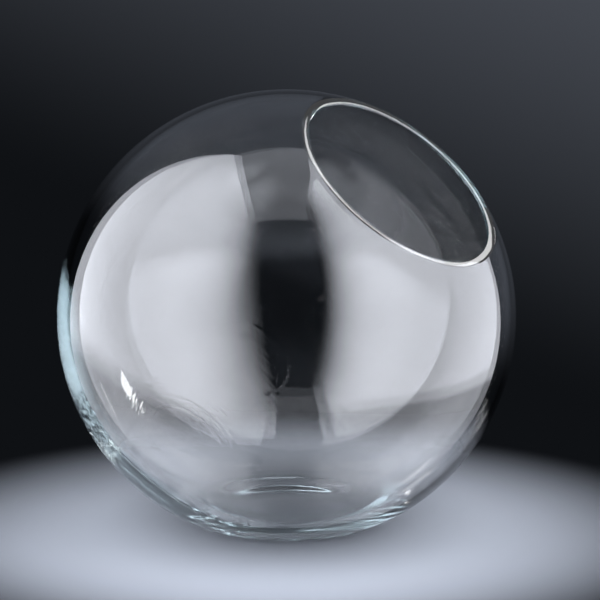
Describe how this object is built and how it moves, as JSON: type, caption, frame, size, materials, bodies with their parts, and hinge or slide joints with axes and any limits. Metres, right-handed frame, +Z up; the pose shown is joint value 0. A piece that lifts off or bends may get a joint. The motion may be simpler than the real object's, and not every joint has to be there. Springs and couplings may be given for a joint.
{
  "type": "globe vase",
  "caption": "Clear blown-glass globe vase with a round mouth cut on a slant, a flattened foot and a polished lip, for cut stems, floating flowers or small plantings.",
  "frame": {"origin": "centre of the foot on the table plane, below the globe's centre", "axes": "+Z up, +X toward the side the slanted mouth faces, XZ is the mirror plane"},
  "size_m": [0.1998, 0.2, 0.1899],
  "materials": {
    "clear_glass": "blown and fire-polished, clear with a faint blue-green tint in the thick edges"
  },
  "bodies": {
    "root": {"glass_bowl": "clear_glass"}
  },
  "joints": []
}
